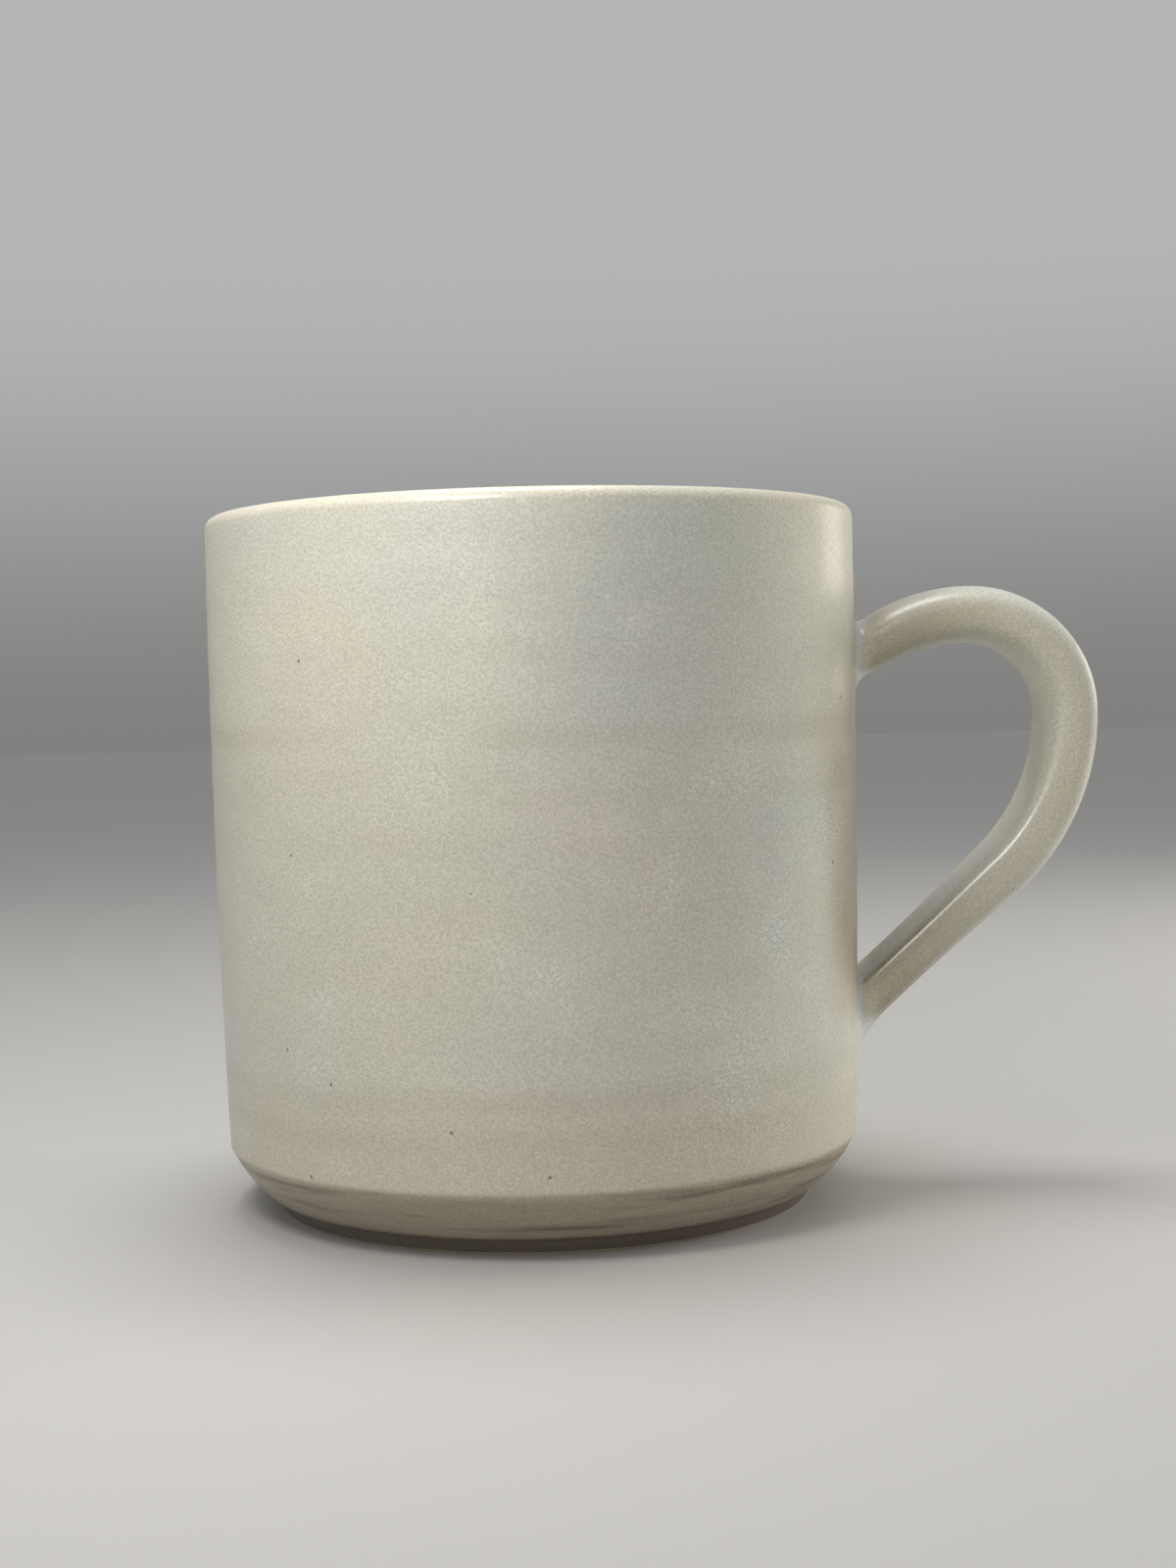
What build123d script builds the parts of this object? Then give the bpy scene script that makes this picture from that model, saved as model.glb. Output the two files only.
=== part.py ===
"""A thrown stoneware mug with a trimmed, bevelled base and a pulled strap handle.

Millimetres, +Z up. The origin is on the mug's axis, in the plane it stands on,
and the handle points along +X. The mug is one fired piece, so it is one solid.
"""
from build123d import *
from math import atan2, cos, degrees, pi, radians, sin, sqrt
import os

# ---- Body: outside ---------------------------------------------------------
HEIGHT = 92.0             # standing plane to the top of the lip
RIM_RADIUS = 43.35        # outside, just under the lip
BELLY_SWELL = 0.35        # how far the wall bows out past the straight line
SHOULDER_RADIUS = 42.35   # outside, where the wall breaks into the bevel
SHOULDER_HEIGHT = 8.6     # height of that break
SHOULDER_ROUND = 1.4      # softness of that break

# ---- Base: trimmed bevel, tool groove and foot ring ------------------------
BEVEL_FOOT_RADIUS = 37.2  # bevel's lower edge
BEVEL_FOOT_HEIGHT = 2.2
BEVEL_CROWN = 0.35        # the bevel is slightly domed
GROOVE_DEPTH = 0.45       # step in from the bevel to the foot ring
FOOT_RADIUS = 35.4        # foot ring, outside, where it stands
FOOT_RING_WIDTH = 4.2
FOOT_RECESS = 1.8         # height of the hollow under the base
FOOT_ROUND = 0.6          # softness of the foot ring's edges

# ---- Body: inside ----------------------------------------------------------
RIM_THICKNESS = 3.4       # at the lip, which is almost a full round
LIP_ROUND = RIM_THICKNESS * 0.48
WALL_THICKNESS = 4.4      # at the bottom of the wall, above the well's round
BASE_THICKNESS = 5.0      # between the well and the hollow under the base
WELL_ROUND = 9.0          # inside corner between wall and floor

# ---- Handle: centre line, in the plane y = 0 -------------------------------
HANDLE_REACH = 29.0       # rim radius to the outermost point of the line
HANDLE_DROP = 14.8        # top of the lip down to the highest point of the line
RISE_ANGLE = 27.0         # climb of the upper arm where it leaves the wall
RISE_RADIUS = 24.0        # upper arm, easing from the climb to level
CORNER_RADIUS = 13.4      # tight bend over the knuckles
LOWER_JOINT_RISE = 15.7   # shoulder up to where the line comes back to the wall
BACK_FULLNESS = 0.722     # back bend's radius, per height from corner to lower joint

# ---- Handle: section, thickness by width, and how it changes along the line -
UPPER_NECK = (6.5, 14.5)  # at the upper joint
BEND = (7.7, 15.0)        # over the knuckles and down the back
LOWER_NECK = (6.5, 13.2)  # at the lower joint
UPPER_TAPER = 16.0        # length over which the upper neck fills out
LOWER_TAPER = 20.0        # length over which the back thins again
LOWER_NECK_LENGTH = 11.0  # lower neck, wall to the end of its taper
SQUARENESS = 2.7          # 2 makes the section an ellipse, more fills its corners
SECTION_POINTS = 16

# ---- Handle: joints --------------------------------------------------------
UPPER_JOINT_ROUND = 1.8   # fillet where the strap leaves the wall
LOWER_JOINT_ROUND = 2.2   # fillet where it comes back to the wall
ROOT_DEPTH = 4.5          # how far past the wall's face the strap's line is carried


# The flat profile is drawn in (radius, height) on the side away from the handle,
# so the seam of each turned surface stays clear of the joints.
PROFILE_PLANE = Plane(origin=(0, 0, 0), x_dir=(-1, 0, 0), z_dir=(0, 1, 0))


def wall_radius(height):
    """Outside radius of the wall at a height, leaving out its slight bow."""
    share = (height - SHOULDER_HEIGHT) / (HEIGHT - SHOULDER_HEIGHT)
    return SHOULDER_RADIUS + (RIM_RADIUS - SHOULDER_RADIUS) * share


def outer_wall():
    """The bowed outside line, from the shoulder up to the rim."""
    foot = (SHOULDER_RADIUS, SHOULDER_HEIGHT)
    rim = (RIM_RADIUS, HEIGHT)
    middle = ((foot[0] + rim[0]) / 2 + BELLY_SWELL, (foot[1] + rim[1]) / 2)
    return ThreePointArc(foot, middle, rim)


def bevel():
    """The domed bevel, from its lower edge up to the shoulder."""
    low = (BEVEL_FOOT_RADIUS, BEVEL_FOOT_HEIGHT)
    high = (SHOULDER_RADIUS, SHOULDER_HEIGHT)
    middle = ((low[0] + high[0]) / 2 + BEVEL_CROWN, (low[1] + high[1]) / 2 - BEVEL_CROWN)
    return ThreePointArc(low, middle, high)


def soften(face, corner, radius):
    """Round the one corner of a flat face that lies nearest to a point."""
    vertex = face.vertices().sort_by_distance(Vector(*corner))[0]
    return fillet(vertex, radius)


def blank():
    """The outside of the mug as a solid of revolution, with its foot ring."""
    groove = (BEVEL_FOOT_RADIUS - GROOVE_DEPTH, BEVEL_FOOT_HEIGHT - GROOVE_DEPTH / 2)
    inner_foot = FOOT_RADIUS - FOOT_RING_WIDTH
    outline = [
        Polyline((0, HEIGHT), (0, FOOT_RECESS), (inner_foot - FOOT_ROUND, FOOT_RECESS),
                 (inner_foot, 0), (FOOT_RADIUS, 0), groove,
                 (BEVEL_FOOT_RADIUS, BEVEL_FOOT_HEIGHT)),
        bevel(),
        outer_wall(),
        Line((RIM_RADIUS, HEIGHT), (0, HEIGHT)),
    ]
    face = make_face(outline)
    face = soften(face, (SHOULDER_RADIUS, SHOULDER_HEIGHT), SHOULDER_ROUND)
    face = soften(face, (FOOT_RADIUS, 0), FOOT_ROUND)
    face = soften(face, (inner_foot, 0), FOOT_ROUND)
    face = soften(face, (RIM_RADIUS, HEIGHT), LIP_ROUND)
    return revolve(PROFILE_PLANE * face, Axis.Z)


def cavity():
    """The space inside the mug, opening upwards through the lip's inner round."""
    floor_z = FOOT_RECESS + BASE_THICKNESS
    low_inside = SHOULDER_RADIUS - WALL_THICKNESS
    lip_foot = Vector(RIM_RADIUS - RIM_THICKNESS, HEIGHT - LIP_ROUND)
    lip_top = lip_foot + Vector(LIP_ROUND, LIP_ROUND)
    face = make_face([
        Polyline((0, HEIGHT), (0, floor_z), (low_inside, floor_z), lip_foot),
        RadiusArc(lip_foot, lip_top, LIP_ROUND),
        Line(lip_top, (0, HEIGHT)),
    ])
    face = soften(face, (low_inside, floor_z), WELL_ROUND)
    return revolve(PROFILE_PLANE * face, Axis.Z)


def handle_line():
    """The handle's centre line as five pieces that meet smoothly, root to root."""
    crest = Vector(RIM_RADIUS + HANDLE_REACH - CORNER_RADIUS, HEIGHT - HANDLE_DROP)
    climb = Vector(cos(radians(RISE_ANGLE)), sin(radians(RISE_ANGLE)))
    rise_end = crest - Vector(RISE_RADIUS * sin(radians(RISE_ANGLE)),
                              RISE_RADIUS * (1 - cos(radians(RISE_ANGLE))))
    run = (rise_end.X - wall_radius(rise_end.Y) + ROOT_DEPTH) / climb.X
    rise = Line(rise_end - climb * run, rise_end)
    ease = JernArc(rise_end, climb, RISE_RADIUS, -RISE_ANGLE)
    corner = JernArc(ease @ 1, ease % 1, CORNER_RADIUS, -90)

    # The back bend turns just far enough for its tangent to meet the lower joint.
    drop = (corner @ 1).Y - SHOULDER_HEIGHT - LOWER_JOINT_RISE
    across = (corner @ 1).X - SHOULDER_RADIUS
    radius = BACK_FULLNESS * drop
    spare = 2 * radius - across
    half_turn = atan2(across, drop + sqrt(drop * drop - across * spare))
    back = JernArc(corner @ 1, corner % 1, radius, -2 * degrees(half_turn))
    down = back % 1
    run = ((back @ 1).X - SHOULDER_RADIUS + ROOT_DEPTH) / -down.X
    fall = Line(back @ 1, back @ 1 + down * run)
    return Wire([Plane.XZ * piece for piece in (rise, ease, corner, back, fall)])


def squared_oval(across, through):
    """A closed smooth outline between an ellipse and a rectangle."""
    points = []
    for step in range(SECTION_POINTS):
        turn = 2 * pi * (step + 0.5) / SECTION_POINTS
        c, s = cos(turn), sin(turn)
        size = (abs(c) ** SQUARENESS + abs(s) ** SQUARENESS) ** (1 / SQUARENESS)
        points.append((across / 2 * c / size, through / 2 * s / size))
    return make_face(Spline(*points, periodic=True))


def strap_section(place, heading, size):
    """The strap's section at one place, square to its line."""
    thickness, width = size
    plane = Plane(origin=place, x_dir=(0, 1, 0), z_dir=heading)
    return plane * squared_oval(width, thickness)


def handle():
    """The pulled strap, swept along its line and carried into the body at both ends."""
    line = handle_line()
    length = line.length
    upper_root = ROOT_DEPTH / (line % 0).X
    lower_root = ROOT_DEPTH / -(line % 1).X
    neck_end = length - lower_root - LOWER_NECK_LENGTH
    stations = [(0, UPPER_NECK), (upper_root + UPPER_TAPER, BEND),
                (neck_end - LOWER_TAPER, BEND), (neck_end, LOWER_NECK), (length, LOWER_NECK)]
    sections = []
    for along, size in stations:
        place = line.position_at(along, position_mode=PositionMode.LENGTH)
        heading = line.tangent_at(along, position_mode=PositionMode.LENGTH)
        sections.append(strap_section(place, heading, size))
    return sweep(sections, path=line, multisection=True)


def mug():
    """Body and strap fused, the joints rounded, then hollowed out."""
    body = blank()
    strap = handle()
    joined = body + strap
    joints = new_edges(body, strap, combined=joined)
    crest = HEIGHT - HANDLE_DROP
    upper = [edge for edge in joints if (edge @ 0.5).Z > crest - CORNER_RADIUS]
    lower = [edge for edge in joints if edge not in upper]
    joined = joined.fillet(UPPER_JOINT_ROUND, upper)
    return joined.fillet(LOWER_JOINT_ROUND, lower) - cavity()


os.makedirs("parts", exist_ok=True)
export_step(mug(), "parts/mug.step")
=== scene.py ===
"""The glazed look of a thrown stoneware mug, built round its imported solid.

Metres, +Z up, the mug's axis at the origin and its handle towards +X.
"""
from math import atan2, ceil, cos, pi, radians, sin, sqrt, tan

import bmesh
import bpy
import numpy as np
from mathutils import Matrix, Vector


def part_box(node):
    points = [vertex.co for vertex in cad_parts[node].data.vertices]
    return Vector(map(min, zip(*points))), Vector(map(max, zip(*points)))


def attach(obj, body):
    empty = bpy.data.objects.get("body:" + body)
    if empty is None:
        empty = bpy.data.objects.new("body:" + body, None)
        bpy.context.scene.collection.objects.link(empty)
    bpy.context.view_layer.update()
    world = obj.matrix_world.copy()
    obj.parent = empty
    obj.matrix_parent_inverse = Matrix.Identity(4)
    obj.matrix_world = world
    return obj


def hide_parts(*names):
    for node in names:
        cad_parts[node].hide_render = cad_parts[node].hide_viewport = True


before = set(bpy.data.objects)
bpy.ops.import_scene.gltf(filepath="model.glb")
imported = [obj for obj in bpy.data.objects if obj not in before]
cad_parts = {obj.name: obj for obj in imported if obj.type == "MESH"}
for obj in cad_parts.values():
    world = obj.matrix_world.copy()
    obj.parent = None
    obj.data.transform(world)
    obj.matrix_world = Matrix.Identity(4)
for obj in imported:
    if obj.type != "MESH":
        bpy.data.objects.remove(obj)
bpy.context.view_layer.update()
_, mug_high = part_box("mug")
HEIGHT_IN_MM = 92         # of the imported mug
MM = mug_high.z / HEIGHT_IN_MM

# ---- Body, as the part has it ----------------------------------------------
HEIGHT = mug_high.z
RIM_RADIUS = 43.35 * MM
BELLY_SWELL = 0.35 * MM
SHOULDER_RADIUS = 42.35 * MM
SHOULDER_HEIGHT = 8.6 * MM
SHOULDER_ROUND = 1.5 * MM
BEVEL_FOOT_RADIUS = 37.2 * MM
BEVEL_FOOT_HEIGHT = 2.3 * MM
BEVEL_CROWN = 0.45 * MM
GROOVE_RADIUS = 36.45 * MM
GROOVE_HEIGHT = 1.95 * MM
FOOT_RADIUS = 35.4 * MM
FOOT_RING_WIDTH = 4.2 * MM
FOOT_RECESS = 1.8 * MM
RIM_THICKNESS = 3.4 * MM
WALL_THICKNESS = 4.4 * MM
BASE_THICKNESS = 5.0 * MM
WELL_ROUND = 9.0 * MM
STEPS_ROUND = 288         # faces round the body
ARC_STEP = radians(9)     # in the half section's round stretches
WELD = 0.02 * MM          # points closer than this are one

# ---- Handle, as the part has it --------------------------------------------
REACH = 29.0 * MM
DROP = 14.8 * MM
RISE_ANGLE = radians(27)
RISE_RADIUS = 24.0 * MM
CORNER_RADIUS = 13.4 * MM
LOWER_JOINT_RISE = 15.7 * MM
BACK_FULLNESS = 0.722
UPPER_NECK = (6.5 * MM, 14.5 * MM)    # thickness, width
BEND = (7.7 * MM, 15.0 * MM)
LOWER_NECK = (6.5 * MM, 13.2 * MM)
UPPER_TAPER = 16.0 * MM
LOWER_TAPER = 20.0 * MM
LOWER_NECK_LENGTH = 11.0 * MM
SQUARENESS = 2.7
ROOT_DEPTH = 4.5 * MM     # how far inside the wall the strap's filling starts
HOLLOW = 1.30 * MM        # thumb groove down the inner face of the strap
CREST = 1.6               # how much squarer the section gets on the groove's side
CREST_SIDE = (0.0, 0.5)   # where it gets squarer, as the sine of the section's angle
GROOVE_SIDE = (0.35, 0.95)    # where the groove sets in, as a share of the half thickness
HOLLOW_START = 34.0 * MM  # along the strap from the upper joint
HOLLOW_FULL = 54.0 * MM
STRAP_STEPS = 165
SECTION_SAMPLES = 4001    # used to space points evenly round the section

# ---- Handle joints: how far the clay is smoothed out from the corner --------
# notch: the sharp side, flank: the two sides, under: the blunt side
UPPER_SMOOTHING = {"notch": 1.9 * MM, "flank": 1.7 * MM, "under": 2.5 * MM}
LOWER_SMOOTHING = {"notch": 1.6 * MM, "flank": 1.8 * MM, "under": 6.6 * MM}
JOINT_STEPS = 9           # rings over the smoothed corner
APRON_STEPS = 5           # rings from there to the turned wall's own grid
WINDOW_CELLS = 24         # cells left out of the wall round each joint: across
WINDOW_ROWS = 22          # and up
JUST_UNDER = 0.999        # keeps a window's edge off the middle of a face
LOWER_WINDOW_DROP = 1.5 * MM  # of the lower window below the strap's line
WALL_SEARCH = (-10 * MM, 14 * MM)     # from inside the wall to outside, along the strap
HALVINGS = 40

# ---- Camera -----------------------------------------------------------------
CAMERA_PLACE = (0.0, -301.6 * MM, 67.4 * MM)
CAMERA_YAW = 0.02346      # to the right of +Y
CAMERA_PITCH = -0.03965
CAMERA_ROLL = -0.02434
LENS_PER_SENSOR = 50.97 / 36.0


# =============================================================================
# Node helpers
# =============================================================================
def node(tree, kind, inputs=None, **settings):
    """Add a node, with its settings and its inputs given as values or sockets."""
    made = tree.nodes.new(kind)
    for name, value in settings.items():
        setattr(made, name, value)
    for key, value in (inputs or {}).items():
        socket = made.inputs[key]
        if isinstance(value, bpy.types.NodeSocket):
            tree.links.new(value, socket)
        else:
            socket.default_value = value
    return made


def calc(tree, operation, *values):
    """One Math node's result."""
    return node(tree, "ShaderNodeMath", dict(enumerate(values)), operation=operation).outputs[0]


def vector_calc(tree, operation, *values):
    """One Vector Math node's vector."""
    made = node(tree, "ShaderNodeVectorMath", dict(enumerate(values)), operation=operation)
    return made.outputs["Vector"]


def product(tree, first, *others):
    """Several values multiplied."""
    for other in others:
        first = calc(tree, "MULTIPLY", first, other)
    return first


def from_axis(tree, where):
    """How far a place is from the mug's axis."""
    flat = vector_calc(tree, "MULTIPLY", where, (1.0, 1.0, 0.0))
    return node(tree, "ShaderNodeVectorMath", {0: flat}, operation="LENGTH").outputs["Value"]


def ramp(tree, value, start, end, low=0.0, high=1.0):
    """A smooth step of value between start and end."""
    made = node(tree, "ShaderNodeMapRange",
                {"Value": value, "From Min": start, "From Max": end, "To Min": low, "To Max": high},
                interpolation_type="SMOOTHSTEP")
    return made.outputs["Result"]


def noise(tree, where, scale, detail=2.0, roughness=0.5, seed=0.0):
    """A noise value from 0 to 1, averaging a half."""
    made = node(tree, "ShaderNodeTexNoise",
                {"Vector": where, "W": seed, "Scale": scale, "Detail": detail,
                 "Roughness": roughness},
                noise_dimensions="4D")
    return made.outputs[0]


def blend(tree, share, first, second, mode="MIX"):
    """Mix two colours by a share."""
    made = node(tree, "ShaderNodeMix", {0: share, 6: first, 7: second},
                data_type="RGBA", blend_type=mode)
    return made.outputs[2]


def new_tree(name, kind, inputs, outputs):
    """A node group with named sockets: (name, socket type, default) each."""
    tree = bpy.data.node_groups.new(name, kind)
    for title, socket_type, default in inputs:
        socket = tree.interface.new_socket(title, in_out="INPUT", socket_type=socket_type)
        if default is not None:
            socket.default_value = default
    for title, socket_type in outputs:
        tree.interface.new_socket(title, in_out="OUTPUT", socket_type=socket_type)
    return tree


def shaped(host, tree, name, **values):
    """Run a geometry tree on an object and return the result as a plain mesh."""
    modifier = host.modifiers.new(tree.name, "NODES")
    modifier.node_group = tree
    for item in tree.interface.items_tree:
        key = item.name.lower().replace(" ", "_")
        if item.in_out == "INPUT" and key in values:
            modifier[item.identifier] = values[key]
    bpy.context.view_layer.update()
    evaluated = host.evaluated_get(bpy.context.evaluated_depsgraph_get())
    mesh = bpy.data.meshes.new_from_object(evaluated)
    mesh.name = name
    bpy.data.objects.remove(host)
    return mesh


def linked(name, data):
    """A new object in the scene."""
    made = bpy.data.objects.new(name, data)
    bpy.context.scene.collection.objects.link(made)
    return made


# =============================================================================
# The turned body
# =============================================================================
def rounded_line(corners):
    """Points along a line of corners: (radius, height, rounding, step, bulge) each.

    Step is the spacing up to the next corner and bulge how far that stretch bows out.
    """
    arcs = []
    for i, (r, z, rounding, _, _) in enumerate(corners):
        here = Vector((r, z))
        if not rounding:
            arcs.append([here])
            continue
        back = (Vector(corners[i - 1][:2]) - here).normalized()
        on = (Vector(corners[i + 1][:2]) - here).normalized()
        half = back.angle(on) / 2
        middle = here + (back + on).normalized() * rounding / sin(half)
        first = here + back * rounding / tan(half) - middle
        last = here + on * rounding / tan(half) - middle
        turn = first.angle_signed(last)
        steps = max(2, ceil(abs(turn) / ARC_STEP))
        arcs.append([middle + Matrix.Rotation(-turn * k / steps, 2) @ first
                     for k in range(steps + 1)])
    points = []
    for i, arc in enumerate(arcs):
        points += arc
        if i + 1 == len(arcs):
            break
        start, end = arc[-1], arcs[i + 1][0]
        run = end - start
        steps = max(1, round(run.length / corners[i][3]))
        outward = Vector((run.y, -run.x)).normalized()
        for k in range(1, steps):
            share = k / steps
            points.append(start + run * share + outward * 4 * corners[i][4] * share * (1 - share))
    return points


def profile_corners():
    """The mug's half section, from the middle of its floor over the lip to its underside."""
    floor = FOOT_RECESS + BASE_THICKNESS
    inner_foot = FOOT_RADIUS - FOOT_RING_WIDTH
    lip = RIM_THICKNESS * 0.48
    return [
        (0, floor, 0, 2.6 * MM, 0),
        (SHOULDER_RADIUS - WALL_THICKNESS, floor, WELL_ROUND, 1.9 * MM, 0),
        (RIM_RADIUS - RIM_THICKNESS, HEIGHT, lip, 1.0 * MM, 0),
        (RIM_RADIUS, HEIGHT, lip, 1.0 * MM, -BELLY_SWELL),
        (SHOULDER_RADIUS, SHOULDER_HEIGHT, SHOULDER_ROUND, 0.24 * MM, -BEVEL_CROWN),
        (BEVEL_FOOT_RADIUS, BEVEL_FOOT_HEIGHT, 0.3 * MM, 0.3 * MM, 0),
        (GROOVE_RADIUS, GROOVE_HEIGHT, 0.2 * MM, 0.4 * MM, 0),
        (FOOT_RADIUS, 0, 0.6 * MM, 1.2 * MM, 0),
        (inner_foot, 0, 0.6 * MM, 0.7 * MM, 0),
        (inner_foot - 0.6 * MM, FOOT_RECESS, 0.5 * MM, 2.6 * MM, 0),
        (0, FOOT_RECESS, 0, 1 * MM, 0),
    ]


def wall_radius(z):
    """Outside radius of the wall at a height."""
    share = (z - SHOULDER_HEIGHT) / (HEIGHT - SHOULDER_HEIGHT)
    straight = SHOULDER_RADIUS + (RIM_RADIUS - SHOULDER_RADIUS) * share
    return straight + 4 * BELLY_SWELL * share * (1 - share)


def turning_tree():
    """Turns a half section about Z, and leaves two windows in the wall for the handle."""
    tree = new_tree("turned_body", "GeometryNodeTree", [
        ("Section", "NodeSocketGeometry", None),
        ("Steps Round", "NodeSocketInt", 64),
        ("Turning Radius", "NodeSocketFloat", 0.04),
        ("Window Half Angle", "NodeSocketFloat", 0.2),
        ("Window Half Height", "NodeSocketFloat", 0.01),
        ("Upper Window", "NodeSocketFloat", 0.07),
        ("Lower Window", "NodeSocketFloat", 0.02),
    ], [("Mesh", "NodeSocketGeometry")])
    given = node(tree, "NodeGroupInput").outputs
    circle = node(tree, "GeometryNodeCurvePrimitiveCircle",
                  {"Resolution": given["Steps Round"], "Radius": given["Turning Radius"]})
    turned = node(tree, "GeometryNodeCurveToMesh",
                  {"Curve": circle.outputs["Curve"], "Profile Curve": given["Section"]})
    closed = node(tree, "GeometryNodeMergeByDistance",
                  {"Geometry": turned.outputs["Mesh"], "Distance": WELD})
    where = node(tree, "GeometryNodeInputPosition").outputs[0]
    x, y, z = node(tree, "ShaderNodeSeparateXYZ", {0: where}).outputs
    angle = calc(tree, "ABSOLUTE", calc(tree, "ARCTAN2", y, x))
    across = calc(tree, "LESS_THAN", angle, given["Window Half Angle"])
    mid_wall = RIM_RADIUS - RIM_THICKNESS + 0.8 * MM
    outside = calc(tree, "GREATER_THAN", from_axis(tree, where), mid_wall)
    near = []
    for window in ("Upper Window", "Lower Window"):
        off = calc(tree, "ABSOLUTE", calc(tree, "SUBTRACT", z, given[window]))
        near.append(calc(tree, "LESS_THAN", off, given["Window Half Height"]))
    either = calc(tree, "MAXIMUM", *near)
    chosen = product(tree, across, outside, either)
    opened = node(tree, "GeometryNodeDeleteGeometry",
                  {"Geometry": closed.outputs[0], "Selection": chosen}, domain="FACE")
    realized = node(tree, "GeometryNodeRealizeInstances", {"Geometry": opened.outputs[0]})
    node(tree, "NodeGroupOutput", {"Mesh": realized.outputs[0]})
    return tree


def turned_body(upper_joint, lower_joint):
    """The body as a mesh, with a window in its wall at each joint's height."""
    points = rounded_line(profile_corners())
    curve = bpy.data.curves.new("half_section", "CURVE")
    curve.dimensions = "3D"
    spline = curve.splines.new("POLY")
    spline.points.add(len(points) - 1)
    for point, (r, z) in zip(spline.points, points):
        point.co = (r - RIM_RADIUS, -z, 0, 1)
    return shaped(linked("half_section", curve), turning_tree(), "turned_body",
                  steps_round=STEPS_ROUND, turning_radius=RIM_RADIUS,
                  window_half_angle=WINDOW_CELLS * pi / STEPS_ROUND,
                  window_half_height=WINDOW_ROWS / 2 * JUST_UNDER * MM,
                  upper_window=upper_joint, lower_window=lower_joint)


# =============================================================================
# The pulled handle
# =============================================================================
def strap_pieces():
    """The centre line from wall to wall, as stretches of (length, turn per metre)."""
    crest_x = RIM_RADIUS + REACH - CORNER_RADIUS
    rise_end = crest_x - RISE_RADIUS * sin(RISE_ANGLE)
    rise = (rise_end - RIM_RADIUS) / cos(RISE_ANGLE)
    start_z = HEIGHT - DROP - RISE_RADIUS * (1 - cos(RISE_ANGLE)) - rise * sin(RISE_ANGLE)

    drop = HEIGHT - DROP - CORNER_RADIUS - SHOULDER_HEIGHT - LOWER_JOINT_RISE
    across = RIM_RADIUS + REACH - SHOULDER_RADIUS
    radius = BACK_FULLNESS * drop
    spare = 2 * radius - across
    turn = 2 * atan2(across, drop + sqrt(drop * drop - across * spare))
    fall = (across - radius * (1 - cos(turn))) / sin(turn)
    pieces = [(rise, 0.0), (RISE_RADIUS * RISE_ANGLE, -1 / RISE_RADIUS),
              (CORNER_RADIUS * pi / 2, -1 / CORNER_RADIUS),
              (radius * turn, -1 / radius), (fall, 0.0)]
    return Vector((RIM_RADIUS, start_z)), pieces


STRAP_START, STRAP_PIECES = strap_pieces()
STRAP_LENGTH = sum(length for length, _ in STRAP_PIECES)


def strap_line(along):
    """Places and headings on the centre line, for an array of lengths along it."""
    x, z, heading = np.zeros_like(along), np.zeros_like(along), np.zeros_like(along)
    px, pz, turn, used = STRAP_START.x, STRAP_START.y, RISE_ANGLE, 0.0
    for i, (length, bend) in enumerate(STRAP_PIECES):
        here = (along >= used) if i else np.ones_like(along, bool)
        run = along - used
        if bend:
            at = turn + bend * run
            x = np.where(here, px + (np.sin(at) - sin(turn)) / bend, x)
            z = np.where(here, pz - (np.cos(at) - cos(turn)) / bend, z)
            heading = np.where(here, at, heading)
            end = turn + bend * length
            px += (sin(end) - sin(turn)) / bend
            pz -= (cos(end) - cos(turn)) / bend
            turn = end
        else:
            x = np.where(here, px + cos(turn) * run, x)
            z = np.where(here, pz + sin(turn) * run, z)
            heading = np.where(here, turn, heading)
            px += cos(turn) * length
            pz += sin(turn) * length
        used += length
    return x, z, heading


def smooth(value, start, end):
    """0 before start, 1 after end, and an even swing between."""
    share = np.clip((value - start) / (end - start), 0, 1)
    return share * share * (3 - 2 * share)


def strap_size(along, which):
    """Thickness (0) or width (1) of the strap at lengths along its line."""
    filled = smooth(along, -ROOT_DEPTH, UPPER_TAPER)
    neck = STRAP_LENGTH - LOWER_NECK_LENGTH
    thinned = smooth(along, neck - LOWER_TAPER, neck)
    upper = UPPER_NECK[which] + (BEND[which] - UPPER_NECK[which]) * filled
    return upper + (LOWER_NECK[which] - BEND[which]) * thinned


def section_turns(count):
    """Angles that space points evenly round the strap's section."""
    turn = np.linspace(0, 2 * pi, SECTION_SAMPLES)
    c, s = np.cos(turn), np.sin(turn)
    size = (abs(c) ** SQUARENESS + abs(s) ** SQUARENESS) ** (1 / SQUARENESS)
    across, through = BEND[1] / 2 * c / size, BEND[0] / 2 * s / size
    gone = np.concatenate([[0], np.cumsum(np.hypot(np.diff(across), np.diff(through)))])
    return np.interp(np.arange(count) / count * gone[-1], gone, turn)


def strap_surface(along, turns):
    """Points on the strap for matching arrays of lengths along it and section angles."""
    x, z, heading = strap_line(along)
    c, s = np.cos(turns), np.sin(turns)
    hollowed = smooth(along, HOLLOW_START, HOLLOW_FULL)
    square = SQUARENESS + CREST * hollowed * smooth(-s, *CREST_SIDE)
    size = (abs(c) ** square + abs(s) ** square) ** (1 / square)
    across = strap_size(along, 1) / 2 * c / size
    through = strap_size(along, 0) / 2 * s / size
    inner = smooth(-s / size, *GROOVE_SIDE)
    through = through + HOLLOW * hollowed * inner * (1 - (c / size) ** 2)
    return np.stack([x - np.sin(heading) * through, across, z + np.cos(heading) * through], -1)


def wall_point(angle, z):
    """Points on the wall at angles from the handle's side and heights."""
    r = wall_radius(z)
    return np.stack([r * np.cos(angle), r * np.sin(angle), z], -1)


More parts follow.
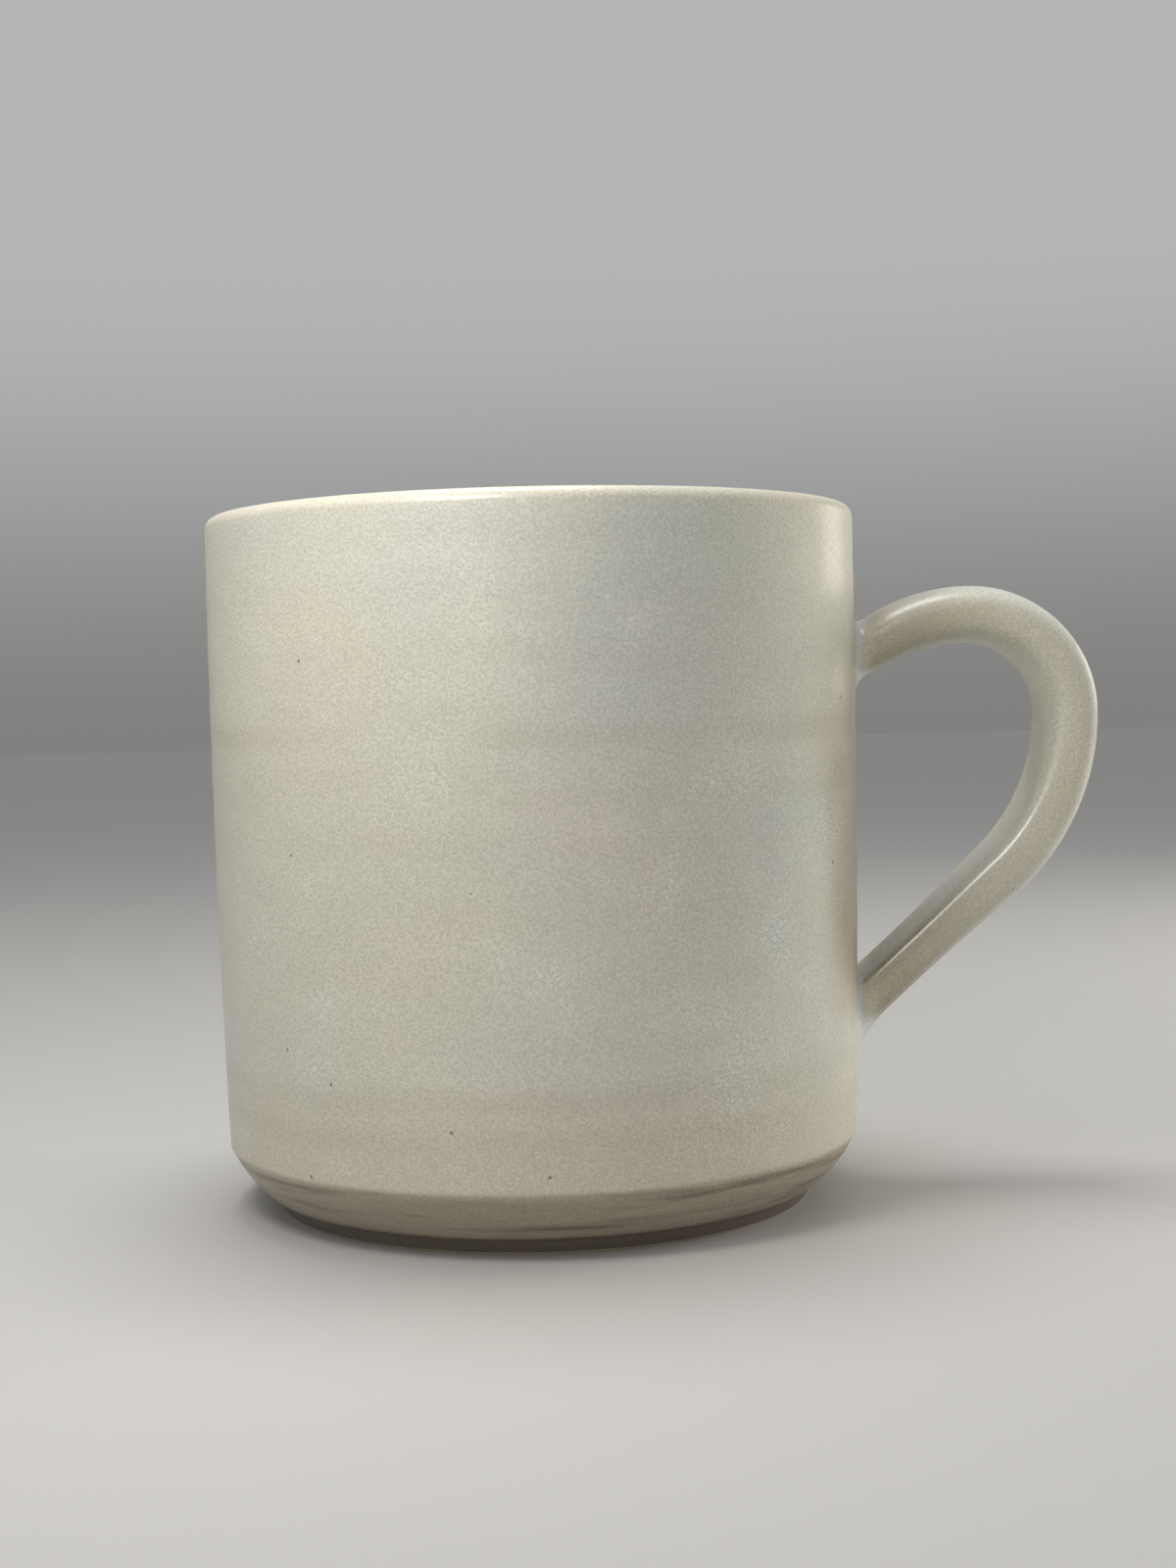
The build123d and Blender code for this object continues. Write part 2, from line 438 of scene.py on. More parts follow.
def meets_wall(turns, inside, outside):
    """Lengths along the strap at which each of its lines runs into the wall."""
    inner, outer = np.full_like(turns, inside), np.full_like(turns, outside)
    for _ in range(HALVINGS):
        middle = (inner + outer) / 2
        p = strap_surface(middle, turns)
        clear = np.hypot(p[:, 0], p[:, 1]) > wall_radius(p[:, 2])
        outer = np.where(clear, middle, outer)
        inner = np.where(clear, inner, middle)
    return (inner + outer) / 2


def joint(turns, smoothing, upper):
    """Where the smoothed corner starts on the strap, and its rings out to the wall."""
    inside, outside = WALL_SEARCH
    on = 1 if upper else -1
    wall_at = 0 if upper else STRAP_LENGTH
    corner_at = meets_wall(turns, wall_at + on * inside, wall_at + on * outside)
    sharp = on * np.sin(turns)
    notch, blunt = np.clip(sharp, 0, 1) ** 1.5, np.clip(-sharp, 0, 1) ** 1.5
    reach = (smoothing["flank"] + (smoothing["notch"] - smoothing["flank"]) * notch
             + (smoothing["under"] - smoothing["flank"]) * blunt)
    corner = strap_surface(corner_at, turns)
    start_at = corner_at + on * reach
    start = strap_surface(start_at, turns)

    # On the wall, unrolled: distance round it, and height.
    flat = np.stack([np.arctan2(corner[:, 1], corner[:, 0]) * RIM_RADIUS, corner[:, 2]], -1)
    tangent = np.roll(flat, -1, 0) - np.roll(flat, 1, 0)
    away = np.stack([tangent[:, 1], -tangent[:, 0]], -1)
    away /= np.linalg.norm(away, axis=1)[:, None]
    away *= np.sign(np.sum(away * (flat - flat.mean(0)), axis=1))[:, None]
    end_flat = flat + away * reach[:, None]
    end = wall_point(end_flat[:, 0] / RIM_RADIUS, end_flat[:, 1])
    rings = []
    for k in range(1, JOINT_STEPS + 1):
        t = k / JOINT_STEPS
        rings.append((1 - t) ** 2 * start + 2 * t * (1 - t) * corner + t * t * end)
    return start_at, rings, end_flat


def apron(end_flat, window):
    """Rings on the wall, from the smoothed corner out to the window's edge."""
    edge = np.stack([np.arctan2(window[:, 1], window[:, 0]) * RIM_RADIUS, window[:, 2]], -1)
    rings = []
    for k in range(1, APRON_STEPS + 1):
        t = k / (APRON_STEPS + 1)
        flat = end_flat * (1 - t) + edge * t
        rings.append(wall_point(flat[:, 0] / RIM_RADIUS, flat[:, 1]))
    return rings


def window_edge(body, middle, upwards):
    """The loop of vertices round one window, from its +Y side, going up or down first."""
    found = set()
    for edge in body.edges:
        if len(edge.link_faces) == 1 and abs(edge.verts[0].co.z - middle) < WINDOW_ROWS * MM:
            found.update(edge.verts)
    sign = 1 if upwards else -1

    def turn(vertex):
        x, y, z = vertex.co
        return atan2(sign * (z - middle), atan2(y, x) * RIM_RADIUS) % (2 * pi)

    loop = sorted(found, key=turn)
    if 2 * pi - turn(loop[-1]) < turn(loop[0]):
        loop = loop[-1:] + loop[:-1]
    return loop


def places(loop):
    """Where a loop's vertices are."""
    return np.array([vertex.co for vertex in loop])


def joined_mug():
    """Body and strap as one closed mesh, with its pooled and thin glaze marked."""
    upper_z = STRAP_START.y
    lower_z = SHOULDER_HEIGHT + LOWER_JOINT_RISE - LOWER_WINDOW_DROP
    body = bmesh.new()
    body.from_mesh(turned_body(upper_z, lower_z))
    pool = body.verts.layers.float.new("pool")
    thin = body.verts.layers.float.new("thin")
    upper_edge = window_edge(body, upper_z, True)
    lower_edge = window_edge(body, lower_z, False)
    count = len(upper_edge)
    turns = section_turns(count)

    upper_start, upper_rings, upper_flat = joint(turns, UPPER_SMOOTHING, True)
    lower_start, lower_rings, lower_flat = joint(turns, LOWER_SMOOTHING, False)
    steps = [upper_start + (lower_start - upper_start) * k / STRAP_STEPS
             for k in range(STRAP_STEPS + 1)]
    rings = apron(upper_flat, places(upper_edge))[::-1] + upper_rings[::-1]
    marks = [0.0] * APRON_STEPS + [sin(pi * k / JOINT_STEPS) for k in range(JOINT_STEPS)]
    rings += [strap_surface(step, turns) for step in steps]
    marks += [0.0] * len(steps)
    rings += lower_rings + apron(lower_flat, places(lower_edge))
    marks += marks[:APRON_STEPS + JOINT_STEPS][::-1]

    ridge = np.clip(abs(np.cos(turns)), 0, 1) ** 6
    loops = [upper_edge]
    for ring, mark in zip(rings, marks):
        loop = []
        for place, edge in zip(ring, ridge):
            vertex = body.verts.new(place)
            vertex[pool] = mark
            vertex[thin] = edge * (1 - mark)
            loop.append(vertex)
        loops.append(loop)
    loops.append(lower_edge)
    for first, second in zip(loops, loops[1:]):
        for k in range(count):
            body.faces.new((first[k - 1], first[k], second[k], second[k - 1]))
    bmesh.ops.recalc_face_normals(body, faces=body.faces)
    mesh = bpy.data.meshes.new("joined_mug")
    body.to_mesh(mesh)
    body.free()
    return mesh


# =============================================================================
# What hands and the wheel leave behind
# =============================================================================
# Where each mark fades in or out. Distances from the axis:
FLOOR_TO_WALL = (15 * MM, 34 * MM)
ONTO_WALL = (34 * MM, 37 * MM)
ONTO_BEVEL = (36.4 * MM, 37.2 * MM)
ONTO_SHOULDER = (39 * MM, 41 * MM)
ONTO_HANDLE = (RIM_RADIUS + 0.3 * MM, RIM_RADIUS + 2 * MM)
# Heights:
BEVEL_START = (2.5 * MM, 3.4 * MM)
BEVEL_END = (7.0 * MM, 8.4 * MM)
ABOVE_SHOULDER = (9 * MM, 14 * MM)
RINGS_END = 84 * MM       # the rings fade out from here to the lip
BELOW_EDGE = (-6 * MM, -0.5 * MM)     # above and below the shoulder's edge
ABOVE_EDGE = (0.5 * MM, 9 * MM)
# How far past the hollow underside, and in from the foot's face, the clay is bare:
RECESS_MARGIN = 0.5 * MM
WIPED_IN = 1.5 * MM


def hand_finish_tree():
    """Wobble, throwing rings, a wavy shoulder, trimming lines, and which faces are bare."""
    floats = ("Wobble", "Wobble Scale", "Ring Depth", "Ring Pitch", "Shoulder Height",
              "Shoulder Wave", "Trimming Depth", "Trimming Pitch", "Height", "Glaze Line")
    tree = new_tree("hand_finish", "GeometryNodeTree", [
        ("Mesh", "NodeSocketGeometry", None),
        *[(name, "NodeSocketFloat", 0.0) for name in floats],
        ("Seed", "NodeSocketInt", 0),
        ("Glaze", "NodeSocketMaterial", None),
        ("Clay", "NodeSocketMaterial", None),
    ], [("Mesh", "NodeSocketGeometry")])
    given = node(tree, "NodeGroupInput").outputs
    where = node(tree, "GeometryNodeInputPosition").outputs[0]
    _, _, z = node(tree, "ShaderNodeSeparateXYZ", {0: where}).outputs
    flat = vector_calc(tree, "MULTIPLY", where, (1.0, 1.0, 0.0))
    radius = from_axis(tree, where)
    seed = given["Seed"]

    def swing(value, size):
        """A noise value turned into an even swing of plus and minus size."""
        return product(tree, calc(tree, "SUBTRACT", value, 0.5), size, 2.0)

    # The wall leans in and out a little, all the way round.
    squashed = vector_calc(tree, "MULTIPLY", where, (1.0, 1.0, 0.6))
    lean = swing(noise(tree, squashed, given["Wobble Scale"], 1.0, 0.4, seed), given["Wobble"])
    lean = product(tree, lean, ramp(tree, radius, *FLOOR_TO_WALL))

    # Throwing rings, which come and go round the wall.
    phase = product(tree, noise(tree, where, 22.0, 1.0, 0.5, seed), 5.0)
    turn = calc(tree, "DIVIDE", product(tree, z, 2 * pi), given["Ring Pitch"])
    wave = calc(tree, "SINE", calc(tree, "ADD", turn, phase))
    upright = vector_calc(tree, "MULTIPLY", where, (0.4, 0.4, 1.0))
    strength = noise(tree, upright, 60.0, 1.0, 0.5, seed)
    on_wall = product(tree, ramp(tree, radius, *ONTO_WALL),
                      ramp(tree, radius, *ONTO_HANDLE, 1.0, 0.0),
                      ramp(tree, z, *ABOVE_SHOULDER),
                      ramp(tree, z, given["Height"], RINGS_END))
    rings = product(tree, wave, strength, on_wall, given["Ring Depth"])

    # Fine lines of the trimming tool on the bevel.
    stretched = vector_calc(tree, "MULTIPLY", where, (0.05, 0.05, 1.0))
    lines = noise(tree, stretched, calc(tree, "DIVIDE", 1.0, given["Trimming Pitch"]),
                  1.5, 0.6, seed)
    on_bevel = product(tree, ramp(tree, z, *BEVEL_START), ramp(tree, z, *BEVEL_END, 1.0, 0.0),
                       ramp(tree, radius, *ONTO_BEVEL))
    trimming = product(tree, swing(lines, given["Trimming Depth"]), on_bevel)

    # The shoulder's edge runs up and down a little, because it was trimmed by hand.
    slow = noise(tree, flat, 45.0, 2.0, 0.5, seed)
    above = calc(tree, "SUBTRACT", z, given["Shoulder Height"])
    close = product(tree, ramp(tree, above, *BELOW_EDGE), ramp(tree, above, *ABOVE_EDGE, 1.0, 0.0),
                    ramp(tree, radius, *ONTO_SHOULDER))
    lift = product(tree, swing(slow, given["Shoulder Wave"]), close)

    out = calc(tree, "ADD", calc(tree, "ADD", lean, rings), trimming)
    outward = vector_calc(tree, "NORMALIZE", flat)
    push = node(tree, "ShaderNodeVectorMath", {0: outward, "Scale": out}, operation="SCALE")
    up = node(tree, "ShaderNodeCombineXYZ", {"Z": lift}).outputs[0]
    offset = vector_calc(tree, "ADD", push.outputs["Vector"], up)
    moved = node(tree, "GeometryNodeSetPosition",
                 {"Geometry": given["Mesh"], "Offset": offset}).outputs[0]
    soft = node(tree, "GeometryNodeSetShadeSmooth", {"Geometry": moved}).outputs[0]
    realized = node(tree, "GeometryNodeRealizeInstances", {"Geometry": soft}).outputs[0]
    glazed = node(tree, "GeometryNodeSetMaterial",
                  {"Geometry": realized, "Material": given["Glaze"]}).outputs[0]

    # The standing ring and the hollow inside it are wiped clean of glaze.
    finished = node(tree, "GeometryNodeInputPosition").outputs[0]
    _, _, level = node(tree, "ShaderNodeSeparateXYZ", {0: finished}).outputs
    standing = calc(tree, "LESS_THAN", level, given["Glaze Line"])
    under = calc(tree, "LESS_THAN", level, FOOT_RECESS + RECESS_MARGIN)
    inside_ring = calc(tree, "LESS_THAN", from_axis(tree, finished), FOOT_RADIUS - WIPED_IN)
    bare = calc(tree, "MAXIMUM", standing, product(tree, under, inside_ring))
    wiped = node(tree, "GeometryNodeSetMaterial",
                 {"Geometry": glazed, "Selection": bare, "Material": given["Clay"]}).outputs[0]
    node(tree, "NodeGroupOutput", {"Mesh": wiped})
    return tree


# =============================================================================
# Materials
# =============================================================================
# Glaze colours, among them painted shade
CREAM = (0.562, 0.548, 0.455, 1)
GREY_CREAM = (0.515, 0.53, 0.475, 1)
PINK_CREAM = (0.56, 0.52, 0.43, 1)
YELLOW_CREAM = (0.60, 0.57, 0.46, 1)
WHEEL_TAN = (0.49, 0.44, 0.35, 1)
# Painted shade along the slight steps the thrower's fingers left in the wall.
STEP_SHADE_TAN = (0.40, 0.35, 0.26, 1)
# Painted shade low on the wall.
LOW_WALL_SHADE = (0.51, 0.44, 0.32, 1)
# Painted shade on the bevel, partly thinner glaze over the trimmed clay.
BEVEL_SHADE_AND_THIN_GLAZE = (0.27, 0.215, 0.15, 1)
STREAK_BROWN = (0.13, 0.095, 0.06, 1)
# Painted contact shadow at the foot.
FOOT_SHADOW_BROWN = (0.09, 0.07, 0.05, 1)
# Painted shade on the handle's roots, partly thinner glaze.
ROOT_SHADE_AND_THIN_GLAZE = (0.26, 0.22, 0.15, 1)
THIN_AMBER = (0.60, 0.53, 0.37, 1)
POOLED_MILK = (0.61, 0.64, 0.63, 1)
CRYSTAL_WHITE = (0.78, 0.78, 0.73, 1)
GLAZED_IRON = (0.10, 0.065, 0.035, 1)
# Clay colours
DARK_BUFF = (0.42, 0.33, 0.22, 1)
BUFF = (0.52, 0.43, 0.31, 1)
CLAY_IRON = (0.12, 0.07, 0.04, 1)

# Heights between which a colour fades: glaze colours and painted shade
LOW_WALL_FADE = (13 * MM, 24 * MM)
BEVEL_FADE = (7.4 * MM, 9.2 * MM)
FOOT_FADE = (2.0 * MM, 2.8 * MM)
LIP_FADE = (HEIGHT - 2.6 * MM, HEIGHT - 1.2 * MM)
CRYSTALS_FADE = (8 * MM, 12 * MM)
# Distances along X between which a colour fades
BODY_END = (43.6 * MM, 44.6 * MM)
STRAP_START_FADE = (43.8 * MM, 46 * MM)
STRAP_ROOT_FADE = (46 * MM, 64 * MM)
# A cone and a cylinder that part the wall's outer face from its inner one
PARTING_SLOPE = 0.55
PARTING_FOOT = 33.9 * MM
PARTING_RADIUS = 40.8 * MM
PARTING_BLUR = 0.3 * MM

# The larger iron specks: where each lies, and its size, in millimetres.
IRON_SPECKS = (
    ((-28.2, -33.0, 72.4), 0.40), ((-30.0, -31.0, 48.9), 0.30), ((-8.0, -42.6, 44.6), 0.35),
    ((-31.4, -29.0, 24.8), 0.40), ((-25.7, -34.1, 21.2), 0.40), ((-11.0, -41.2, 16.2), 0.40),
    ((0.5, -42.5, 10.9), 0.40), ((-28.7, -31.2, 9.4), 0.40), ((39.2, -18.4, 66.4), 0.45),
    ((37.4, -21.7, 45.6), 0.45), ((64.0, -5.5, 79.8), 0.40), ((63.4, -6.5, 40.2), 0.45),
    ((20.0, 38.5, 61.0), 0.45), ((-34.0, 27.0, 37.0), 0.35), ((-12.0, 41.5, 78.0), 0.40),
)
SPECK_RAG = 0.12 * MM     # how uneven a speck's edge is
# Where the glaze's colour turns in soft patches, and two patches of painted shade beside the
# handle: middle, reach (mm), colour and strength.
CLOUDS_AND_HANDLE_SHADE = (
    ((13, -41, 78), 20, (0.49, 0.50, 0.46, 1), 0.55),
    ((13, -41, 66), 16, (0.50, 0.50, 0.46, 1), 0.45),
    ((18, -39, 46), 20, (0.54, 0.49, 0.42, 1), 0.55),
    ((-29, -32, 68), 26, (0.60, 0.57, 0.45, 1), 0.5),
    # These two are painted shade, cast by the handle on the wall beside it.
    ((41.5, -11.5, 57), 18, (0.41, 0.345, 0.235, 1), 0.85),
    ((41.5, -11.5, 38), 18, (0.41, 0.345, 0.235, 1), 0.85),
    ((-14, -41, 44), 22, (0.56, 0.53, 0.42, 1), 0.5),
    ((2, -42, 22), 22, (0.53, 0.51, 0.44, 1), 0.4),
)
CLOUD_RAG = 5 * MM        # how uneven a cloud's edge is
# Where the thrower's fingers left a slight step in the wall, a darker band of painted shade along
# it: height (mm) and strength.
STEP_SHADE_BANDS = ((62.8, 0.30), (55.5, 0.14), (19.6, 0.20), (15.0, 0.22))
BAND_WANDER = 1.5 * MM    # how far a band strays up and down
BAND_FADE = (0.2 * MM, 2.6 * MM)      # from its middle


def fine_grain_group():
    """Fine mottle and iron specks, which glaze and bare clay both show."""
    tree = new_tree("fine_grain", "ShaderNodeTree", [
        ("Place", "NodeSocketVector", None),
        ("Grain Scale", "NodeSocketFloat", 1600.0),
        ("Speck Scale", "NodeSocketFloat", 90.0),
        ("Speck Size", "NodeSocketFloat", 0.02),
    ], [("Grain", "NodeSocketFloat"), ("Specks", "NodeSocketFloat")])
    given = node(tree, "NodeGroupInput").outputs
    coarse = noise(tree, given["Place"], given["Grain Scale"], 3.0, 0.55, 3.0)
    grain = ramp(tree, coarse, 0.3, 0.7)
    cells = node(tree, "ShaderNodeTexVoronoi",
                 {"Vector": given["Place"], "Scale": given["Speck Scale"], "Randomness": 1.0})
    pick = node(tree, "ShaderNodeSeparateColor", {0: cells.outputs["Color"]}).outputs
    size = calc(tree, "MULTIPLY", given["Speck Size"], ramp(tree, pick[0], 0.55, 1.0))
    ragged = calc(tree, "MULTIPLY", size, calc(tree, "ADD", coarse, 0.5))
    near = calc(tree, "SUBTRACT", ragged, cells.outputs["Distance"])
    specks = ramp(tree, near, -0.004, 0.008)
    node(tree, "NodeGroupOutput", {"Grain": grain, "Specks": specks})
    return tree


def start_material(name):
    """A material with its output, its shader and the object's own coordinates."""
    material = bpy.data.materials.new(name)
    material.use_nodes = True
    tree = material.node_tree
    tree.nodes.clear()
    shader = node(tree, "ShaderNodeBsdfPrincipled")
    node(tree, "ShaderNodeOutputMaterial", {"Surface": shader.outputs[0]})
    place = node(tree, "ShaderNodeTexCoord").outputs["Object"]
    return material, tree, shader, place


def grained(tree, place, group, grain_scale, speck_scale, speck_size):
    """The fine grain group in a material: its mottle and its specks."""
    grain = node(tree, "ShaderNodeGroup", node_tree=group)
    tree.links.new(place, grain.inputs["Place"])
    grain.inputs["Grain Scale"].default_value = grain_scale
    grain.inputs["Speck Scale"].default_value = speck_scale
    grain.inputs["Speck Size"].default_value = speck_size
    return grain.outputs


def distance_from(tree, place, middle):
    """How far a place is from a point given in millimetres."""
    point = tuple(value * MM for value in middle)
    made = node(tree, "ShaderNodeVectorMath", {0: place, 1: point}, operation="DISTANCE")
    return made.outputs["Value"]


def cloudy_cream_and_shade(tree, place):
    """The glaze's ground colour, which turns in soft clouds, with painted shade of the handle on
    the wall beside it.
    """
    colour = CREAM
    for tint, scale, seed, start, end in (
        (GREY_CREAM, 26.0, 1.0, 0.42, 0.68),
        (PINK_CREAM, 33.0, 7.0, 0.50, 0.75),
        (YELLOW_CREAM, 48.0, 12.0, 0.52, 0.80),
    ):
        share = ramp(tree, noise(tree, place, scale, 3.0, 0.55, seed), start, end)
        colour = blend(tree, share, colour, tint)
    ragged = product(tree, noise(tree, place, 60.0, 2.0, 0.5, 2.0), 2 * CLOUD_RAG)
    for middle, reach, tint, strength in CLOUDS_AND_HANDLE_SHADE:
        edge = calc(tree, "ADD", distance_from(tree, place, middle), ragged)
        share = ramp(tree, edge, 0.25 * reach * MM + CLOUD_RAG, reach * MM + CLOUD_RAG,
                     strength, 0.0)
        colour = blend(tree, share, colour, tint)
    return colour


def outer_face(tree, place, z):
    """1 on the outside of the body and on the handle, 0 inside the mug."""
    parting = calc(tree, "MULTIPLY_ADD", z, PARTING_SLOPE, PARTING_FOOT)
    parting = calc(tree, "MINIMUM", parting, PARTING_RADIUS)
    past = calc(tree, "SUBTRACT", from_axis(tree, place), parting)
    return ramp(tree, past, -PARTING_BLUR, PARTING_BLUR)


def turned_marks_and_shade(tree, colour, place):
    """Wheel bands; painted shade on finger steps, low wall and foot; on the bevel and handle roots,
    painted shade partly thinner glaze.
    """
    x, _, z = node(tree, "ShaderNodeSeparateXYZ", {0: place}).outputs
    outside = outer_face(tree, place, z)

    level = vector_calc(tree, "MULTIPLY", place, (0.08, 0.08, 1.0))
    bands = ramp(tree, noise(tree, level, 210.0, 2.0, 0.5, 5.0), 0.35, 0.65, 0.0, 0.10)
    colour = blend(tree, bands, colour, WHEEL_TAN)

    # Painted shade low on the wall.
    low = product(tree, ramp(tree, z, *LOW_WALL_FADE, 0.45, 0.0), outside)
    colour = blend(tree, low, colour, LOW_WALL_SHADE)
    # Painted shade on the bevel, partly thinner glaze over the trimmed clay.
    bevel = product(tree, ramp(tree, z, *BEVEL_FADE, 1.0, 0.0), outside)
    colour = blend(tree, product(tree, bevel, 0.72), colour, BEVEL_SHADE_AND_THIN_GLAZE)
    level = vector_calc(tree, "MULTIPLY", place, (0.06, 0.06, 1.0))
    streaks = ramp(tree, noise(tree, level, 700.0, 2.0, 0.6, 9.0), 0.45, 0.7, 0.0, 0.8)
    colour = blend(tree, product(tree, streaks, bevel), colour, STREAK_BROWN)
    # Painted contact shadow at the foot.
    colour = blend(tree, ramp(tree, z, *FOOT_FADE, 0.9, 0.0), colour, FOOT_SHADOW_BROWN)

    patchy = ramp(tree, noise(tree, place, 30.0, 2.0, 0.5, 6.0), 0.25, 0.6)
    on_wall = product(tree, ramp(tree, x, *BODY_END, 1.0, 0.0), outside, patchy)
    wander = product(tree, noise(tree, place, 35.0, 2.0, 0.5, 31.0), 2 * BAND_WANDER)
    strayed = calc(tree, "ADD", z, wander)
    # Darker bands of painted shade along the fingers' steps.
    for height, strength in STEP_SHADE_BANDS:
        off = calc(tree, "SUBTRACT", strayed, height * MM + BAND_WANDER)
        share = ramp(tree, calc(tree, "ABSOLUTE", off), *BAND_FADE, strength, 0.0)
        colour = blend(tree, product(tree, share, on_wall), colour, STEP_SHADE_TAN)

    # Painted shade on the handle's roots, partly thinner glaze.
    root = product(tree, ramp(tree, x, *STRAP_START_FADE),
                   ramp(tree, x, *STRAP_ROOT_FADE, 0.75, 0.0))
    return blend(tree, root, colour, ROOT_SHADE_AND_THIN_GLAZE)


def thin_and_pooled(tree, colour, pool, place):
    """Thinner on the lip and the strap's edges, thick and milky in the joints."""
    _, _, z = node(tree, "ShaderNodeSeparateXYZ", {0: place}).outputs
    edge = node(tree, "ShaderNodeAttribute", attribute_name="thin").outputs["Fac"]
    lip = ramp(tree, z, *LIP_FADE, 0.0, 0.35)
    thin = calc(tree, "MAXIMUM", product(tree, edge, 0.6), lip)
    colour = blend(tree, thin, colour, THIN_AMBER)
    milky = product(tree, calc(tree, "POWER", pool, 2.0), 0.68)
    return blend(tree, milky, colour, POOLED_MILK)


def flecked(tree, colour, place, mottle, specks):
    """Fine dots, drifts of pale crystals, and iron specks."""
    _, _, z = node(tree, "ShaderNodeSeparateXYZ", {0: place}).outputs
    dots = ramp(tree, mottle, 0.0, 1.0, 0.87, 1.10)
    dots = node(tree, "ShaderNodeCombineColor", {0: dots, 1: dots, 2: dots}).outputs[0]
    colour = blend(tree, 1.0, colour, dots, "MULTIPLY")

    drift = ramp(tree, noise(tree, place, 75.0, 3.0, 0.6, 21.0), 0.46, 0.72)
    crystals = ramp(tree, noise(tree, place, 2800.0, 2.0, 0.6, 15.0), 0.48, 0.66)
    share = product(tree, drift, crystals, ramp(tree, z, *CRYSTALS_FADE, 0.0, 0.6))
    colour = blend(tree, share, colour, CRYSTAL_WHITE)

    ragged = product(tree, mottle, SPECK_RAG)
    for middle, size in IRON_SPECKS:
        off = calc(tree, "ADD", distance_from(tree, place, middle), ragged)
        spot = ramp(tree, off, size * 0.5 * MM, size * 0.9 * MM, 1.0, 0.0)
        specks = calc(tree, "MAXIMUM", specks, spot)
    return blend(tree, product(tree, specks, 0.85), colour, GLAZED_IRON)


def satin_glaze(grain_group):
    """Cream glaze, cloudy and finely mottled, thin on edges and pooled in the joints, with painted
    shade low down and by the handle.
    """
    material, tree, shader, place = start_material("satin_glaze")
    mottle, specks = grained(tree, place, grain_group,
                             grain_scale=3100.0, speck_scale=85.0, speck_size=0.03)
    pool = node(tree, "ShaderNodeAttribute", attribute_name="pool").outputs["Fac"]
    colour = cloudy_cream_and_shade(tree, place)
    colour = turned_marks_and_shade(tree, colour, place)
    colour = thin_and_pooled(tree, colour, pool, place)
    colour = flecked(tree, colour, place, mottle, specks)

    satin = ramp(tree, noise(tree, place, 70.0, 3.0, 0.6, 4.0), 0.3, 0.7, 0.42, 0.56)
    satin = calc(tree, "SUBTRACT", satin, product(tree, pool, 0.15))
    relief = noise(tree, place, 1900.0, 2.0, 0.5, 8.0)
    relief = calc(tree, "ADD", relief, product(tree, mottle, 0.35))
    bump = node(tree, "ShaderNodeBump",
                {"Strength": 0.45, "Distance": 0.10 * MM, "Height": relief})
    tree.links.new(colour, shader.inputs["Base Color"])
    tree.links.new(satin, shader.inputs["Roughness"])
    tree.links.new(bump.outputs[0], shader.inputs["Normal"])
    shader.inputs["IOR"].default_value = 1.6
    shader.inputs["Coat Weight"].default_value = 0.42
    shader.inputs["Coat Roughness"].default_value = 0.25
    return material


def bare_clay(grain_group):
    """Fired buff stoneware without glaze."""
    material, tree, shader, place = start_material("bare_clay")
    mottle, specks = grained(tree, place, grain_group,
                             grain_scale=2200.0, speck_scale=160.0, speck_size=0.05)
    colour = blend(tree, mottle, DARK_BUFF, BUFF)
    colour = blend(tree, product(tree, specks, 0.8), colour, CLAY_IRON)
    bump = node(tree, "ShaderNodeBump",
                {"Strength": 0.5, "Distance": 0.1 * MM, "Height": mottle})
    tree.links.new(colour, shader.inputs["Base Color"])
    tree.links.new(bump.outputs[0], shader.inputs["Normal"])
    shader.inputs["Roughness"].default_value = 0.85
    return material


def plain(name, colour, roughness):
    """One even colour, for the stage."""
    material, _, shader, _ = start_material(name)
    shader.inputs["Base Color"].default_value = (*colour, 1)
    shader.inputs["Roughness"].default_value = roughness
    return material


# =============================================================================
# Stage
# =============================================================================
FLOOR_SIZE = 3.0          # from the middle to an edge
FLOOR_PAINT = (0.46, 0.45, 0.43)
SKYLINE = (0.47, 0.465, 0.45, 1)
SKY = (0.97, 0.98, 1.0, 1)
SKY_RISE = (-0.02, 0.20)  # sine of the heights between which one turns to the other
SKY_STRENGTH = 0.47
# Round lamps, hidden from the camera. One may light without a glint, or glint alone.
LAMPS = {
    "window_light": {"place": (-0.50, -0.26, 0.30), "target": (-0.01, 0, 0.07),
                     "size": 0.30, "watts": 0.12, "colour": (1.0, 0.99, 0.96)},
    "wash_light": {"place": (-0.070, -0.105, 0.165), "target": (-0.01, 0, 0.065),
                   "size": 0.06, "watts": 0.145, "colour": (1.0, 0.98, 0.95), "glints": False},
    "top_light": {"place": (-0.02, 0.06, 0.50), "target": (0, 0, 0.08),
                  "size": 0.22, "watts": 1.25, "colour": (1.0, 1.0, 1.0)},
    "front_light": {"place": (0.20, -0.80, 0.12), "target": (0, 0, 0.04),
                    "size": 0.40, "watts": 0.5, "colour": (1.0, 0.98, 0.95), "glints": False},
    "side_light": {"place": (0.50, 0.16, 0.11), "target": (0.03, 0, 0.05),
                   "size": 0.30, "watts": 1.75, "colour": (1.0, 0.97, 0.92), "glints": False},
    "back_light": {"place": (0.44, 0.34, 0.14), "target": (0.05, 0, 0.05),
                   "size": 0.16, "watts": 0.20, "colour": (1.0, 0.91, 0.76)},
    "crest_light": {"place": (-0.14, -0.33, 0.29), "target": (0.06, 0, 0.04),
                    "size": 0.12, "watts": 1.4, "colour": (1.0, 0.99, 0.97), "lights": False},
}


